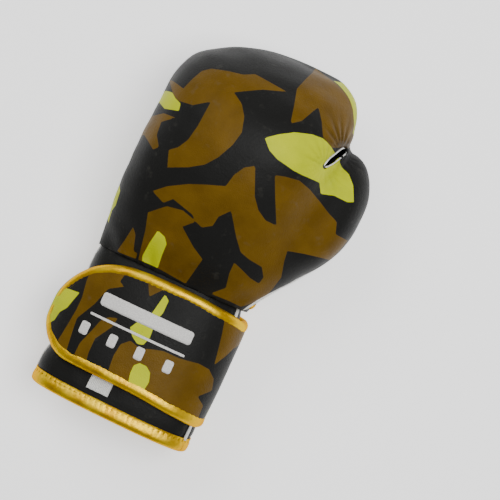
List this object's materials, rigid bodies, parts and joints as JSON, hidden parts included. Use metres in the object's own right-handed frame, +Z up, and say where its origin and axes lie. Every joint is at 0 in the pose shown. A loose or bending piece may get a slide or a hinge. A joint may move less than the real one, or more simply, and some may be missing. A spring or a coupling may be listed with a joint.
{
  "type": "boxing glove",
  "caption": "Left-hand padded boxing glove with attached thumb, palm slit and a wrap-round hook-and-loop wrist strap, lying palm down.",
  "frame": {"origin": "middle of the glove's footprint, on the surface that it lies on", "axes": "+Z up, through the back of the hand; +Y from the cuff mouth to the knuckles; +X towards the thumb side"},
  "size_m": [0.1672, 0.275, 0.1179],
  "materials": {
    "camo_leather": "black PU leather printed with an olive-brown and neon camouflage, satin",
    "black_leather": "black PU leather, satin",
    "gold_binding": "gold tape, stitched along its edge",
    "white_piping": "white covered piping",
    "foam": "closed-cell foam",
    "lining": "black knitted lining",
    "hook": "hook tape",
    "loop": "loop tape",
    "label": "blank woven label"
  },
  "bodies": {
    "glove": {"back_panel": "camo_leather", "palm_panel": "black_leather", "finger_panel": "black_leather", "thumb_panel": "black_leather", "cuff_back_panel": "black_leather", "cuff_thumb_side_panel": "black_leather", "cuff_little_side_panel": "black_leather", "strap_anchor": "black_leather", "knuckle_foam": "foam", "palm_foam": "foam", "thumb_foam": "foam", "cuff_back_foam": "foam", "cuff_thumb_side_foam": "foam", "cuff_little_side_foam": "foam", "grip_bar": "foam", "hand_lining": "lining", "thumb_lining": "lining", "cuff_back_lining": "lining", "cuff_thumb_side_lining": "lining", "cuff_little_side_lining": "lining", "cuff_mouth_binding": "gold_binding", "thumb_slit_binding": "gold_binding", "little_slit_binding": "gold_binding", "thumb_base_strip": "gold_binding", "little_side_piping": "white_piping", "thumb_piping": "white_piping", "cuff_thumb_piping": "white_piping", "cuff_little_piping": "white_piping", "loop_patch": "loop", "size_label": "label"},
    "back_strap": {"back_strap_cover": "camo_leather", "back_strap_foam": "foam", "back_strap_backing": "lining", "back_strap_binding": "gold_binding", "hook_patch": "hook"},
    "palm_strap": {"palm_strap_cover": "camo_leather", "palm_strap_foam": "foam", "palm_strap_backing": "lining", "palm_strap_binding": "gold_binding"},
    "thumb_flap": {"thumb_flap_panel": "black_leather", "thumb_flap_foam": "foam", "thumb_flap_lining": "lining", "thumb_flap_binding": "gold_binding"},
    "little_flap": {"little_flap_panel": "black_leather", "little_flap_foam": "foam", "little_flap_lining": "lining", "little_flap_binding": "gold_binding"}
  },
  "joints": [
    {"name": "back_strap_wrap", "type": "hinge", "parent": "palm_strap", "child": "back_strap", "pos_m": [0.04569, -0.076, 0.0401], "axis": [0, 1, 0], "range_deg": [0, 150]},
    {"name": "palm_strap_wrap", "type": "hinge", "parent": "glove", "child": "palm_strap", "pos_m": [-0.08191, -0.076, 0.03], "axis": [0, 1, 0], "range_deg": [0, 30]},
    {"name": "thumb_flap_fold", "type": "hinge", "parent": "glove", "child": "thumb_flap", "pos_m": [0.01589, -0.1375, 0.0081], "axis": [0.2772, -0.9608, 0], "range_deg": [0, 15]},
    {"name": "little_flap_fold", "type": "hinge", "parent": "glove", "child": "little_flap", "pos_m": [-0.05211, -0.1375, 0.0081], "axis": [0.2772, 0.9608, 0], "range_deg": [0, 15]}
  ],
  "couplings": [
    {"joint": "palm_strap_wrap", "follows": "back_strap_wrap", "ratio": 0.2},
    {"joint": "thumb_flap_fold", "follows": "back_strap_wrap", "ratio": 0.1},
    {"joint": "little_flap_fold", "follows": "back_strap_wrap", "ratio": 0.1}
  ]
}
